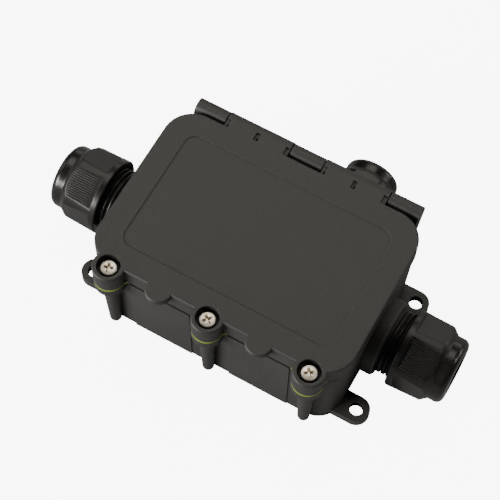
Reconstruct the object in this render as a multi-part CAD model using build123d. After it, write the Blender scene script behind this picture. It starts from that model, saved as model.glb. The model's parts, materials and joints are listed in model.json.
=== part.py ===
from build123d import *
from dataclasses import dataclass
import os

# Waterproof junction box with a hinged lid and three cable glands.
# Millimetres. The origin is the centre of the four mounting holes, on the
# surface the box is fixed to. +X points to the right gland, +Y to the hinge
# and +Z up.

os.makedirs("parts", exist_ok=True)

# Moulded base, drafted from the rim down to the foot
rim_length = 101.6
rim_width = 68.4
rim_height = 36.5
rim_corner_radius = 10.8
end_draft = 1.0
side_draft = 0.6
wall = 3.0
floor_thickness = 3.0

# Mounting lugs
lug_reach = 6.2
lug_inset = 9.3
mount_hole_radius = 2.6
lug_radius = 5.1
lug_thickness = 4.0

# Lid
lid_height = 8.1
lid_end_overhang = 0.6
lid_side_overhang = 0.2
lid_plate = 2.6
lid_wall = 3.0
lid_edge_radius = 0.7
panel_end_margin = 9.4
panel_side_margin = 8.9
panel_corner_radius = 4.5
panel_depth = 0.3
tab_radius = 5.1
tab_thickness = 2.2

# Gasket between the rim and the lid
gasket_thickness = 1.2
gasket_wall_setback = 0.9
gasket_boss_setback = 0.1
lid_gap = 0.2

# Lid screws and the posts that take them
screw_end_inset = 10.8
screw_outset = 1.1
tower_radius = 6.0
counterbore_radius = 4.4
counterbore_depth = 3.3
screw_head_radius = 2.9
screw_head_height = 2.0
screw_shank_radius = 1.5
screw_length = 20.0
screw_tip = 1.0
tip_slope = 0.6
head_rim_share = 0.5
screw_hole_clearance = 0.25
thread_clearance = 0.05
post_hole_extra = 1.5
post_boss_height = 3.6
post_cone_height = 2.4
post_top_radius = 3.3
post_foot_radius = 2.3
post_foot_gap = 0.2
wall_panel_margin = 7.9
wall_panel_proud = 0.4

# Hinge
hinge_outset = 4.1
hinge_drop = 3.7
knuckle_radius = 3.5
knuckle_end_inset = 4.6
end_knuckle_length = 12.6
middle_knuckle_length = 12.9
knuckle_gap = 0.5
pin_radius = 1.0
pin_clearance = 0.05
pin_end_cover = 2.0
bracket_foot_drop = 9.0
bracket_foot_depth = 1.2
lid_back_clearance = 0.4
window_length = 1.8
window_width = 3.6
window_depth = 0.7
window_end_inset = 0.8
window_inset = 2.5
pocket_length = 0.7
pocket_depth = 1.8

# Cable glands
gland_axis_rise = 0.15
side_gland_y = 0.0
back_gland_x = 19.8
side_thread_root = 11.6
side_collar_length = 5.4
side_exposed_thread = 5.5
side_nut_length = 21.2
side_neck_in_nut = 3.4
side_cable_radius = 6.2
side_nut_turn = 30.0
back_thread_root = 9.6
back_collar_length = 2.0
back_exposed_thread = 2.4
back_nut_length = 19.6
back_neck_in_nut = 3.0
back_cable_radius = 4.6
back_nut_turn = 0.0
neck_wall = 2.0
seal_shoulder = 2.0
thread_height = 0.7
nut_thread_clearance = 0.3
nut_wall = 2.5
nut_flat_depth = 1.5
nut_flange_length = 2.6
nut_chamfer_length = 2.4
dome_step = 2.5
dome_round = 2.6
nut_edge_chamfer = 0.4
nut_body_taper = 0.5
claw_clearance = 0.2
claw_spigot_wall = 0.5
claw_wall = 2.2
claw_ring_length = 2.0
claw_spigot_length = 2.4
claw_slot_width = 1.2
claw_slots = 8
claw_taper = 1.0
nut_cone_gap = 0.4
nut_cone_setback = 1.0
seal_end_gap = 2.0
seal_edge_chamfer = 1.0
collar_setback = 0.3
collar_chamfer = 0.8
into_wall = 1.8

# Terminal strip
pole_count = 3
pole_pitch = 15.6
pole_width = 9.6
strip_depth = 22.0
strip_block_height = 12.0
chimney_radius = 3.2
chimney_height = 4.5
chimney_spacing = 11.0
web_height = 5.0
web_depth = 9.0
clamp_size = 6.4
clamp_length = 18.0
clamp_clearance = 0.2
clamp_bore_radius = 2.1
clamp_floor = 2.0
terminal_screw_radius = 1.5
terminal_screw_length = 6.0
terminal_screw_rise = 1.25
terminal_slot_width = 0.6
terminal_slot_depth = 0.8
chimney_bore_radius = 1.9
strip_boss_radius = 3.2
strip_boss_height = 3.0
strip_screw_radius = 1.3
strip_screw_head_radius = 2.6
strip_screw_head_height = 1.8
strip_screw_length = 9.0
strip_screw_clearance = 0.2
strip_screw_tip = 0.8
strip_corner_radius = 1.2
cut_extra = 1.0

# Places that follow from the sizes above
foot_length = rim_length - 2 * end_draft
foot_width = rim_width - 2 * side_draft
foot_corner_radius = rim_corner_radius - end_draft
mount_spacing_x = foot_length + 2 * lug_reach
mount_spacing_y = foot_width - 2 * lug_inset
gasket_top = rim_height + gasket_thickness
lid_bottom = gasket_top + lid_gap
lid_top = lid_bottom + lid_height
lid_length = rim_length + 2 * lid_end_overhang
lid_width = rim_width + 2 * lid_side_overhang
lid_corner_radius = rim_corner_radius + lid_end_overhang
panel_length = lid_length - 2 * panel_end_margin
panel_width = lid_width - 2 * panel_side_margin
screw_spacing = rim_length / 2 - screw_end_inset
screw_line_y = -(rim_width / 2 + screw_outset)
screw_xs = (-screw_spacing, 0.0, screw_spacing)
tab_xs = (-screw_spacing / 2, screw_spacing / 2)
screw_seat = lid_top - counterbore_depth
screw_tip_z = screw_seat - screw_length
hinge_y = rim_width / 2 + hinge_outset
hinge_z = lid_top - hinge_drop
knuckle_end = rim_length / 2 - knuckle_end_inset
knuckle_inner = knuckle_end - end_knuckle_length
knuckle_middle = middle_knuckle_length / 2
window_y = hinge_y - window_inset
strip_base = floor_thickness + strip_boss_height


def rounded_slab(length, width, radius, bottom, top):
    """A rounded rectangle extruded from one height to another."""
    outline = Pos(0, 0, bottom) * RectangleRounded(length, width, radius)
    return extrude(outline, amount=top - bottom)


def rounded_loft(bottom_sizes, top_sizes, bottom, top):
    """A drafted block between two rounded rectangles."""
    lower = Pos(0, 0, bottom) * RectangleRounded(*bottom_sizes)
    upper = Pos(0, 0, top) * RectangleRounded(*top_sizes)
    return loft([lower, upper])


def towered_outline(length, width, corner_radius, boss_radius):
    """The rounded rectangle with a round boss at each lid screw."""
    outline = RectangleRounded(length, width, corner_radius)
    for x in screw_xs:
        outline += Pos(x, screw_line_y) * Circle(boss_radius)
    return outline


def soft_topped_disc(radius, bottom, top, edge_radius):
    """A round boss whose top edge is rounded."""
    disc = Cylinder(radius, top - bottom, align=(Align.CENTER, Align.CENTER, Align.MIN))
    disc = fillet(disc.edges().sort_by(Axis.Z)[-1], edge_radius)
    return Pos(0, 0, bottom) * disc


def turned(points, place):
    """A solid turned about the local Z axis from radius and height pairs."""
    profile = make_face(Polyline(points, close=True))
    return place * revolve(Plane.XZ * profile, Axis.Z)


def at_screw(x):
    return Pos(x, screw_line_y, 0)


# Glands

@dataclass
class Gland:
    """One cable gland: where it stands and the sizes that differ."""
    name: str
    place: Plane
    thread_root: float
    collar_length: float
    exposed_thread: float
    nut_length: float
    neck_in_nut: float
    cable_radius: float
    nut_turn: float

    @property
    def neck_bore(self):
        return self.thread_root - neck_wall

    @property
    def passage(self):
        return self.neck_bore - seal_shoulder

    @property
    def nut_bore(self):
        return self.thread_root + thread_height + nut_thread_clearance

    @property
    def nut_radius(self):
        return self.nut_bore + nut_wall

    @property
    def dome_radius(self):
        return self.nut_radius - dome_step

    @property
    def nut_start(self):
        return self.collar_length + self.exposed_thread

    @property
    def nut_end(self):
        return self.nut_start + self.nut_length

    @property
    def neck_end(self):
        return self.nut_start + self.neck_in_nut

    @property
    def dome_start(self):
        return self.nut_end - nut_wall - dome_round

    @property
    def finger_end(self):
        return self.dome_start - seal_end_gap

    @property
    def shoulder(self):
        return self.neck_end - claw_spigot_length - claw_clearance

    @property
    def claw_inner(self):
        return self.neck_bore - claw_clearance - claw_spigot_wall

    @property
    def claw_outer(self):
        return self.claw_inner + claw_wall


gland_axis_height = rim_height / 2 + gland_axis_rise
drafted_share = gland_axis_height / rim_height
end_wall_x = foot_length / 2 + end_draft * drafted_share
back_wall_y = foot_width / 2 + side_draft * drafted_share


def side_gland(name, direction):
    """One of the two equal glands on the end walls."""
    return Gland(
        name=name,
        place=Plane(
            origin=(direction * end_wall_x, side_gland_y, gland_axis_height),
            x_dir=(0, -1, 0),
            z_dir=(direction, 0, 0),
        ),
        thread_root=side_thread_root,
        collar_length=side_collar_length,
        exposed_thread=side_exposed_thread,
        nut_length=side_nut_length,
        neck_in_nut=side_neck_in_nut,
        cable_radius=side_cable_radius,
        nut_turn=side_nut_turn,
    )


glands = [
    side_gland("right", 1),
    side_gland("left", -1),
    Gland(
        name="back",
        place=Plane(
            origin=(back_gland_x, back_wall_y, gland_axis_height),
            x_dir=(1, 0, 0),
            z_dir=(0, 1, 0),
        ),
        thread_root=back_thread_root,
        collar_length=back_collar_length,
        exposed_thread=back_exposed_thread,
        nut_length=back_nut_length,
        neck_in_nut=back_neck_in_nut,
        cable_radius=back_cable_radius,
        nut_turn=back_nut_turn,
    ),
]


def gland_neck(gland):
    """Smooth collar and threaded neck, drawn at the root of the thread."""
    collar_radius = gland.nut_radius - collar_setback
    return turned(
        [
            (0, -into_wall),
            (collar_radius, -into_wall),
            (collar_radius, gland.collar_length - collar_chamfer),
            (collar_radius - collar_chamfer, gland.collar_length),
            (gland.thread_root, gland.collar_length),
            (gland.thread_root, gland.neck_end),
            (0, gland.neck_end),
        ],
        gland.place.location,
    )


def gland_bore(gland):
    """The way through the wall, with the shoulder the seal rests on."""
    inside = -wall - into_wall
    return turned(
        [
            (0, inside),
            (gland.passage, inside),
            (gland.passage, gland.shoulder),
            (gland.neck_bore, gland.shoulder),
            (gland.neck_bore, gland.neck_end + cut_extra),
            (0, gland.neck_end + cut_extra),
        ],
        gland.place.location,
    )


def gland_seal(gland):
    """Rubber sleeve on the shoulder, inside the clamping ring."""
    outer = gland.claw_inner - claw_clearance
    return turned(
        [
            (gland.cable_radius, gland.shoulder),
            (outer, gland.shoulder),
            (outer, gland.finger_end - seal_edge_chamfer),
            (outer - seal_edge_chamfer, gland.finger_end),
            (gland.cable_radius, gland.finger_end),
        ],
        gland.place.location,
    )


def gland_claw(gland):
    """Clamping ring seated on the neck, with slots between its fingers."""
    ring_start = gland.neck_end
    finger_start = ring_start + claw_ring_length
    finger_end = gland.finger_end
    spigot_radius = gland.neck_bore - claw_clearance
    ring = turned(
        [
            (gland.claw_inner, ring_start - claw_spigot_length),
            (spigot_radius, ring_start - claw_spigot_length),
            (spigot_radius, ring_start),
            (gland.claw_outer, ring_start),
            (gland.claw_outer, finger_start),
            (gland.claw_outer - claw_taper, finger_end),
            (gland.claw_inner, finger_end),
        ],
        Location(),
    )
    slot_length = finger_end - finger_start + cut_extra
    slot = Pos(gland.claw_outer, 0, finger_start + slot_length / 2) * Box(
        3 * claw_wall, claw_slot_width, slot_length
    )
    for index in range(claw_slots):
        ring -= Rot(0, 0, index * 360 / claw_slots) * slot
    return gland.place.location * ring


def gland_nut(gland):
    """Six-sided cap nut with a round flange and a domed end."""
    start = gland.nut_start
    end = gland.nut_end
    flat_start = start + nut_flange_length
    flange_and_body = turned(
        [
            (0, start),
            (gland.nut_radius - nut_edge_chamfer, start),
            (gland.nut_radius, start + nut_edge_chamfer),
            (gland.nut_radius, flat_start),
            (gland.nut_radius - nut_body_taper, gland.dome_start - nut_chamfer_length),
            (gland.dome_radius, gland.dome_start),
            (0, gland.dome_start),
        ],
        Location(),
    )
    hexagon = RegularPolygon(gland.nut_radius - nut_flat_depth, 6, major_radius=False)
    turned_hexagon = Pos(0, 0, flat_start) * Rot(0, 0, gland.nut_turn) * hexagon
    hex_body = extrude(turned_hexagon, amount=gland.dome_start - flat_start)
    flange = Pos(0, 0, start) * Cylinder(
        gland.nut_radius + cut_extra, nut_flange_length, align=(Align.CENTER, Align.CENTER, Align.MIN)
    )
    body = flange_and_body & (hex_body + flange)

    dome_root = gland.dome_start - nut_edge_chamfer
    dome = Pos(0, 0, dome_root) * Cylinder(
        gland.dome_radius, end - dome_root, align=(Align.CENTER, Align.CENTER, Align.MIN)
    )
    dome = fillet(dome.edges().sort_by(Axis.Z)[-1], dome_round)

    cone_radius = gland.claw_outer + nut_cone_gap
    hollow = turned(
        [
            (0, start - cut_extra),
            (gland.nut_bore, start - cut_extra),
            (gland.nut_bore, gland.neck_end + claw_ring_length + nut_cone_setback),
            (cone_radius, gland.neck_end + claw_ring_length + nut_cone_setback),
            (cone_radius - claw_taper, gland.finger_end + nut_cone_setback),
            (gland.passage, end - nut_wall),
            (gland.passage, end + cut_extra),
            (0, end + cut_extra),
        ],
        Location(),
    )
    return gland.place.location * (body + dome - hollow)


# Base

def screw_post(x):
    """Round boss under the gasket, tapering to a post with a round foot."""
    foot_centre = post_foot_gap + post_foot_radius
    boss_bottom = rim_height - post_boss_height
    cone_bottom = boss_bottom - post_cone_height
    side = Polyline(
        (post_foot_radius, foot_centre),
        (post_top_radius, cone_bottom),
        (tower_radius, boss_bottom),
        (tower_radius, rim_height),
        (0, rim_height),
        (0, post_foot_gap),
    )
    foot = TangentArc((0, post_foot_gap), (post_foot_radius, foot_centre), tangent=(1, 0))
    return at_screw(x) * revolve(Plane.XZ * make_face([side, foot]), Axis.Z)


def wall_panel(x):
    """Slightly raised panel of the front wall between two posts, drafted like the wall."""
    proud = 2 * wall_panel_proud
    grown = rounded_loft(
        (foot_length + proud, foot_width + proud, foot_corner_radius + wall_panel_proud),
        (rim_length + proud, rim_width + proud, rim_corner_radius + wall_panel_proud),
        0,
        rim_height,
    )
    panel_width = screw_spacing - 2 * wall_panel_margin
    strip = Pos(x, -rim_width / 2, 0) * Box(
        panel_width, 2 * wall, rim_height, align=(Align.CENTER, Align.CENTER, Align.MIN)
    )
    return grown & strip


def mounting_lug(side_x, side_y):
    """Flat ear with a rounded end, growing out of the foot of the wall."""
    hole_x = side_x * mount_spacing_x / 2
    hole_y = side_y * mount_spacing_y / 2
    root_x = side_x * (foot_length / 2 - wall)
    arm = Pos((hole_x + root_x) / 2, hole_y) * Rectangle(abs(hole_x - root_x), 2 * lug_radius)
    ear = arm + Pos(hole_x, hole_y) * Circle(lug_radius)
    lug = extrude(ear, amount=lug_thickness)
    return lug


def knuckle_spans():
    return [
        (-knuckle_end, -knuckle_inner),
        (-knuckle_middle, knuckle_middle),
        (knuckle_inner, knuckle_end),
    ]


def lid_section_spans():
    return [
        (-knuckle_inner + knuckle_gap, -knuckle_middle - knuckle_gap),
        (knuckle_middle + knuckle_gap, knuckle_inner - knuckle_gap),
    ]


def along_x(profile, start, end):
    """Extrude a profile drawn in Y and Z between two X positions."""
    drawn = Plane(origin=(start, 0, 0), x_dir=(0, 1, 0), z_dir=(1, 0, 0)) * profile
    return extrude(drawn, amount=end - start)


def base_knuckle(start, end):
    """Hinge knuckle on a bracket that rises from the back wall."""
    arm_front = lid_width / 2 + lid_back_clearance
    back_inside = rim_width / 2 - wall / 2
    bracket = make_face(
        Polyline(
            (back_inside, rim_height),
            (arm_front, rim_height),
            (arm_front, hinge_z),
            (hinge_y + knuckle_radius, hinge_z),
            (hinge_y + knuckle_radius - bracket_foot_depth, hinge_z - knuckle_radius),
            (rim_width / 2, rim_height - bracket_foot_drop),
            (back_inside, rim_height - bracket_foot_drop),
            close=True,
        )
    )
    barrel = Pos(hinge_y, hinge_z) * Circle(knuckle_radius)
    return along_x(bracket + barrel, start, end)


def pin_hole(clearance, start, end):
    return along_x(Pos(hinge_y, hinge_z) * Circle(pin_radius + clearance), start, end)


def strip_boss_xs():
    return [(index - (pole_count - 2) / 2) * pole_pitch for index in range(pole_count - 1)]


base = rounded_loft(
    (foot_length, foot_width, foot_corner_radius),
    (rim_length, rim_width, rim_corner_radius),
    0,
    rim_height,
)
rim_outline = towered_outline(rim_length, rim_width, rim_corner_radius, tower_radius)
rim_band = extrude(Pos(0, 0, rim_height - post_boss_height) * rim_outline, amount=post_boss_height)
base += rim_band
for x in screw_xs:
    base += screw_post(x)
for x in tab_xs:
    base += wall_panel(x)
for side_x in (-1, 1):
    for side_y in (-1, 1):
        base += mounting_lug(side_x, side_y)
for gland in glands:
    base += gland_neck(gland)
for start, end in knuckle_spans():
    base += base_knuckle(start, end)

base -= rounded_loft(
    (foot_length - 2 * wall, foot_width - 2 * wall, foot_corner_radius - wall),
    (rim_length - 2 * wall, rim_width - 2 * wall, rim_corner_radius - wall),
    floor_thickness,
    rim_height,
)
for gland in glands:
    base -= gland_bore(gland)
for side_x in (-1, 1):
    for side_y in (-1, 1):
        hole = Pos(side_x * mount_spacing_x / 2, side_y * mount_spacing_y / 2, lug_thickness / 2)
        base -= hole * Cylinder(mount_hole_radius, 2 * lug_thickness)
for x in screw_xs:
    hole_bottom = screw_tip_z - post_hole_extra
    base -= at_screw(x) * Pos(0, 0, hole_bottom) * Cylinder(
        screw_shank_radius + thread_clearance,
        rim_height - hole_bottom + cut_extra,
        align=(Align.CENTER, Align.CENTER, Align.MIN),
    )
pin_start = -knuckle_end + pin_end_cover
base -= pin_hole(pin_clearance, pin_start, knuckle_end + cut_extra)
for x in strip_boss_xs():
    base += Pos(x, 0, floor_thickness / 2) * Cylinder(
        strip_boss_radius,
        strip_boss_height + floor_thickness / 2,
        align=(Align.CENTER, Align.CENTER, Align.MIN),
    )
    hole_bottom = strip_base + web_height - strip_screw_length - strip_screw_tip
    base -= Pos(x, 0, hole_bottom) * Cylinder(
        strip_screw_radius + thread_clearance,
        strip_base - hole_bottom + cut_extra,
        align=(Align.CENTER, Align.CENTER, Align.MIN),
    )

# Gasket

gasket_outline = towered_outline(
    rim_length - 2 * gasket_wall_setback,
    rim_width - 2 * gasket_wall_setback,
    rim_corner_radius - gasket_wall_setback,
    tower_radius - gasket_boss_setback,
)
gasket_outline -= RectangleRounded(
    rim_length - 2 * wall, rim_width - 2 * wall, rim_corner_radius - wall
)
for x in screw_xs:
    gasket_outline -= Pos(x, screw_line_y) * Circle(screw_shank_radius + 2 * screw_hole_clearance)
gasket = extrude(Pos(0, 0, rim_height) * gasket_outline, amount=gasket_thickness)

# Lid

def lid_section(start, end):
    """Hinge section: the lid's top carried back and curled over the pin."""
    plate = Pos((hinge_y + lid_width / 2 - lid_wall) / 2, lid_top - hinge_drop / 2) * Rectangle(
        hinge_y - lid_width / 2 + lid_wall, hinge_drop
    )
    barrel = Pos(hinge_y, hinge_z) * Circle(hinge_drop)
    section = along_x(plate + barrel, start, end)
    first_window_x = start + window_end_inset
    middle_window_x = (start + end) / 2
    last_window_x = end - window_end_inset
    for x in (first_window_x, middle_window_x, last_window_x):
        section -= Pos(x, window_y, lid_top) * Box(window_length, window_width, 2 * window_depth)
    for x in (first_window_x, middle_window_x):
        pocket_x = x + (window_length - pocket_length) / 2
        section -= Pos(pocket_x, window_y - window_width / 4, lid_top) * Box(
            pocket_length, window_width / 2, 2 * pocket_depth
        )
    return section


lid = rounded_slab(lid_length, lid_width, lid_corner_radius, lid_bottom, lid_top)
top_edges = lid.faces().sort_by(Axis.Z)[-1].outer_wire().edges()
lid = fillet(top_edges, lid_edge_radius)
for x in screw_xs:
    lid += at_screw(x) * soft_topped_disc(tower_radius, lid_bottom, lid_top, lid_edge_radius)
for x in tab_xs:
    tab = soft_topped_disc(tab_radius, lid_top - tab_thickness, lid_top, lid_edge_radius)
    lid += Pos(x, -lid_width / 2) * tab
lid -= rounded_slab(
    lid_length - 2 * lid_wall,
    lid_width - 2 * lid_wall,
    lid_corner_radius - lid_wall,
    lid_bottom - cut_extra,
    lid_top - lid_plate,
)
for x in screw_xs:
    tower = at_screw(x) * Pos(0, 0, lid_bottom) * Cylinder(
        tower_radius, lid_top - lid_plate / 2 - lid_bottom, align=(Align.CENTER, Align.CENTER, Align.MIN)
    )
    lid += tower
for start, end in lid_section_spans():
    lid += lid_section(start, end)
    lid -= pin_hole(pin_clearance, start - cut_extra, end + cut_extra)
lid -= Pos(0, 0, lid_top - panel_depth) * extrude(
    RectangleRounded(panel_length, panel_width, panel_corner_radius), amount=panel_depth + cut_extra
)
for x in screw_xs:
    lid -= at_screw(x) * Pos(0, 0, screw_seat) * Cylinder(
        counterbore_radius, counterbore_depth + cut_extra, align=(Align.CENTER, Align.CENTER, Align.MIN)
    )
    lid -= at_screw(x) * Pos(0, 0, lid_bottom - cut_extra) * Cylinder(
        screw_shank_radius + screw_hole_clearance,
        lid_height,
        align=(Align.CENTER, Align.CENTER, Align.MIN),
    )

# Fasteners and pin

hinge_pin = along_x(Pos(hinge_y, hinge_z) * Circle(pin_radius), pin_start, knuckle_end)


def pan_head_screw(shank_radius, length, head_radius, head_height, tip):
    """Pan-head screw with the underside of its head at Z = 0."""
    head_edge = head_height * head_rim_share
    side = Polyline(
        (0, head_height),
        (0, -length),
        (shank_radius - tip * tip_slope, -length),
        (shank_radius, tip - length),
        (shank_radius, 0),
        (head_radius, 0),
        (head_radius, head_edge),
    )
    crown = TangentArc((0, head_height), (head_radius, head_edge), tangent=(1, 0))
    return revolve(Plane.XZ * make_face([side, crown]), Axis.Z)


lid_screw = pan_head_screw(
    screw_shank_radius, screw_length, screw_head_radius, screw_head_height, screw_tip
)

# Terminal strip

def pole_xs():
    return [(index - (pole_count - 1) / 2) * pole_pitch for index in range(pole_count)]


chimney_ys = (-chimney_spacing / 2, chimney_spacing / 2)
clamp_bottom = strip_base + clamp_floor
clamp_middle = clamp_bottom + clamp_size / 2
chimney_top = strip_base + strip_block_height + chimney_height


def terminal_block():
    """Insulating strip: one block and two chimneys a pole, joined by webs."""
    strip = None
    for x in pole_xs():
        outline = RectangleRounded(pole_width, strip_depth, strip_corner_radius)
        pole = Pos(x, 0, strip_base) * extrude(outline, amount=strip_block_height)
        for y in chimney_ys:
            pole += Pos(x, y, strip_base) * Cylinder(
                chimney_radius,
                strip_block_height + chimney_height,
                align=(Align.CENTER, Align.CENTER, Align.MIN),
            )
        strip = pole if strip is None else strip + pole
    for x in strip_boss_xs():
        strip += Pos(x, 0, strip_base) * Box(
            pole_pitch - pole_width + 2 * strip_corner_radius,
            web_depth,
            web_height,
            align=(Align.CENTER, Align.CENTER, Align.MIN),
        )
    cavity = clamp_size + 2 * clamp_clearance
    for x in pole_xs():
        strip -= Pos(x, 0, clamp_bottom) * Box(
            cavity,
            strip_depth + cut_extra,
            cavity - clamp_clearance,
            align=(Align.CENTER, Align.CENTER, Align.MIN),
        )
        for y in chimney_ys:
            strip -= Pos(x, y, clamp_middle) * Cylinder(
                chimney_bore_radius,
                chimney_top - clamp_middle + cut_extra,
                align=(Align.CENTER, Align.CENTER, Align.MIN),
            )
    for x in strip_boss_xs():
        strip -= Pos(x, 0, strip_base - cut_extra) * Cylinder(
            strip_screw_radius + strip_screw_clearance,
            web_height + 2 * cut_extra,
            align=(Align.CENTER, Align.CENTER, Align.MIN),
        )
    return strip


def terminal_clamp(x):
    """Brass tube with a wire bore and two tapped holes."""
    tube = Pos(x, 0, clamp_bottom) * Box(
        clamp_size, clamp_length, clamp_size, align=(Align.CENTER, Align.CENTER, Align.MIN)
    )
    tube -= Pos(x, 0, clamp_middle) * Rot(90, 0, 0) * Cylinder(clamp_bore_radius, clamp_length + cut_extra)
    for y in chimney_ys:
        tube -= Pos(x, y, clamp_middle) * Cylinder(
            terminal_screw_radius + thread_clearance,
            clamp_size,
            align=(Align.CENTER, Align.CENTER, Align.MIN),
        )
    return tube


def terminal_screw(x, y):
    """Slotted grub screw standing in its chimney."""
    bottom = clamp_middle + terminal_screw_rise
    screw = Pos(x, y, bottom) * Cylinder(
        terminal_screw_radius, terminal_screw_length, align=(Align.CENTER, Align.CENTER, Align.MIN)
    )
    screw -= Pos(x, y, bottom + terminal_screw_length) * Box(
        2 * terminal_screw_radius + cut_extra, terminal_slot_width, 2 * terminal_slot_depth
    )
    return screw


strip_screw = pan_head_screw(
    strip_screw_radius, strip_screw_length, strip_screw_head_radius, strip_screw_head_height, strip_screw_tip
)
strip_screws = Compound(
    children=[Pos(x, 0, strip_base + web_height) * strip_screw for x in strip_boss_xs()]
)

# Everything that is written out

nodes = {
    "base_body": base,
    "lid": lid,
    "lid_gasket": gasket,
    "hinge_pin": hinge_pin,
    "terminal_housing": terminal_block(),
    "terminal_mounting_screws": strip_screws,
}
for name, x in zip(("left", "middle", "right"), screw_xs):
    nodes[f"lid_screw_{name}"] = at_screw(x) * Pos(0, 0, screw_seat) * lid_screw
for gland in glands:
    nodes[f"gland_nut_{gland.name}"] = gland_nut(gland)
    nodes[f"gland_claw_{gland.name}"] = gland_claw(gland)
    nodes[f"gland_seal_{gland.name}"] = gland_seal(gland)
screw_number = 0
for number, x in enumerate(pole_xs(), start=1):
    nodes[f"terminal_clamp_{number}"] = terminal_clamp(x)
    for y in chimney_ys:
        screw_number += 1
        nodes[f"terminal_screw_{screw_number}"] = terminal_screw(x, y)

for name, solid in nodes.items():
    export_step(solid, f"parts/{name}.step")
    box = solid.bounding_box()
    print(
        f"{name}: {len(solid.solids())} solid(s), {solid.volume:.0f} mm3, "
        f"Z {box.min.Z:.2f} to {box.max.Z:.2f}"
    )
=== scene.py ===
# %% [markdown]
# A waterproof junction box: a black moulded box with a hinged lid, a lime
# gasket, three cross-head screws and three cable glands. The CAD model fixes
# every form and place. This script gives it its finish: the plastics, rubber
# and metals, and the fine forms that the solids leave out, which are the
# threads on the gland necks, the grip ribs on the nuts, the cross recess in
# each lid screw and the hollow corners of the gasket.

import json
import math

import bmesh
import bpy
from mathutils import Matrix, Vector


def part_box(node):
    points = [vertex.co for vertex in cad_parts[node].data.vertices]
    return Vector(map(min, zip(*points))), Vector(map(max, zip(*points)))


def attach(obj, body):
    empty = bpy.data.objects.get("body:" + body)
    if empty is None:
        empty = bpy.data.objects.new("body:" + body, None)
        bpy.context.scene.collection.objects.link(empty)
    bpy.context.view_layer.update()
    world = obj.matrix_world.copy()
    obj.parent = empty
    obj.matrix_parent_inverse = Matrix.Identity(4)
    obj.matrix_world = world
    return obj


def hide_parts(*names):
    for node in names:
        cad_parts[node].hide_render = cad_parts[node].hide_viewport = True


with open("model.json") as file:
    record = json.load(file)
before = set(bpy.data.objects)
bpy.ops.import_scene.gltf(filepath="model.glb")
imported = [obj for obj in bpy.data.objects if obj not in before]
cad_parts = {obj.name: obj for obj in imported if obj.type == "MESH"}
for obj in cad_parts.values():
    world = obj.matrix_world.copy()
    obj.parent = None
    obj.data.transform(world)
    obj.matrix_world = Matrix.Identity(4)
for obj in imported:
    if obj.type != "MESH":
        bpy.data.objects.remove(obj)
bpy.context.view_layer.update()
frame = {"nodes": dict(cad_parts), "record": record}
mm = 0.001

# %% [markdown]
# The camera stands where the photographer stood. A few points on the box,
# such as screw heads, lug holes and the edges of the lid, fix the direction,
# the distance and the focal length together. It could be placed by eye and
# nudged, but the numbers below were solved for all at once, which keeps the
# perspective right.

# %% Camera at the photograph's angle
view_azimuth = math.radians(27.311)
view_elevation = math.radians(64.273)
view_roll = math.radians(2.122)
view_distance = 570.42 * mm
view_target = Vector((-5.560, 5.668, 20.0)) * mm
focal_length_in_pixels = 1537.4
picture_width_in_pixels = 500
sensor_width = 36.0


def camera_axes(azimuth, elevation, roll):
    """Right, up and backward directions of a camera that looks at its target."""
    back = Vector((
        math.sin(azimuth) * math.cos(elevation),
        -math.cos(azimuth) * math.cos(elevation),
        math.sin(elevation),
    ))
    right = Vector((math.cos(azimuth), math.sin(azimuth), 0))
    up = back.cross(right)
    rolled_right = math.cos(roll) * right + math.sin(roll) * up
    rolled_up = -math.sin(roll) * right + math.cos(roll) * up
    return rolled_right, rolled_up, back


right, up, back = camera_axes(view_azimuth, view_elevation, view_roll)
camera_data = bpy.data.cameras.new("photo_camera")
camera_data.sensor_fit = "HORIZONTAL"
camera_data.sensor_width = sensor_width
camera_data.lens = focal_length_in_pixels / picture_width_in_pixels * sensor_width
camera_data.clip_start = 10 * mm
camera_data.clip_end = 20
camera = bpy.data.objects.new("photo_camera", camera_data)
camera.matrix_world = Matrix((
    (right.x, up.x, back.x, (view_target + view_distance * back).x),
    (right.y, up.y, back.y, (view_target + view_distance * back).y),
    (right.z, up.z, back.z, (view_target + view_distance * back).z),
    (0, 0, 0, 1),
))
bpy.context.scene.collection.objects.link(camera)
bpy.context.scene.camera = camera
print("focal length in mm:", round(camera_data.lens, 1))

# %% [markdown]
# The floor is a plain white sheet. It is a single quad at the height of the
# mounting face. A curved sweep would do as well, but the camera looks down
# so steeply that the floor fills the whole picture. The photograph shows
# pure white round a box whose sides stay dark, so the sheet glows for the
# camera alone and throws little light back on the box.

# %% Floor
floor_half_width = 3.0
floor_colour = (0.40, 0.40, 0.40, 1)
floor_glow = 8.0
paper_roughness = 0.9
paper_shine = 0.1

floor_mesh = bpy.data.meshes.new("floor")
floor_corners = [(-1, -1), (1, -1), (1, 1), (-1, 1)]
floor_mesh.from_pydata(
    [(x * floor_half_width, y * floor_half_width, 0) for x, y in floor_corners], [], [(0, 1, 2, 3)]
)
floor = bpy.data.objects.new("floor", floor_mesh)
bpy.context.scene.collection.objects.link(floor)
floor_paper = bpy.data.materials.new("floor_paper")
floor_paper.use_nodes = True
paper_shader = floor_paper.node_tree.nodes["Principled BSDF"]
paper_shader.inputs["Base Color"].default_value = floor_colour
paper_shader.inputs["Roughness"].default_value = paper_roughness
paper_shader.inputs["Specular IOR Level"].default_value = paper_shine
paper_shader.inputs["Emission Color"].default_value = (1, 1, 1, 1)
sight = floor_paper.node_tree.nodes.new("ShaderNodeLightPath")
glow = floor_paper.node_tree.nodes.new("ShaderNodeMath")
glow.operation = "MULTIPLY"
glow.inputs[1].default_value = floor_glow
floor_paper.node_tree.links.new(sight.outputs["Is Camera Ray"], glow.inputs[0])
floor_paper.node_tree.links.new(glow.outputs[0], paper_shader.inputs["Emission Strength"])
floor_mesh.materials.append(floor_paper)
print("floor:", 2 * floor_half_width, "m square")

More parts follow.
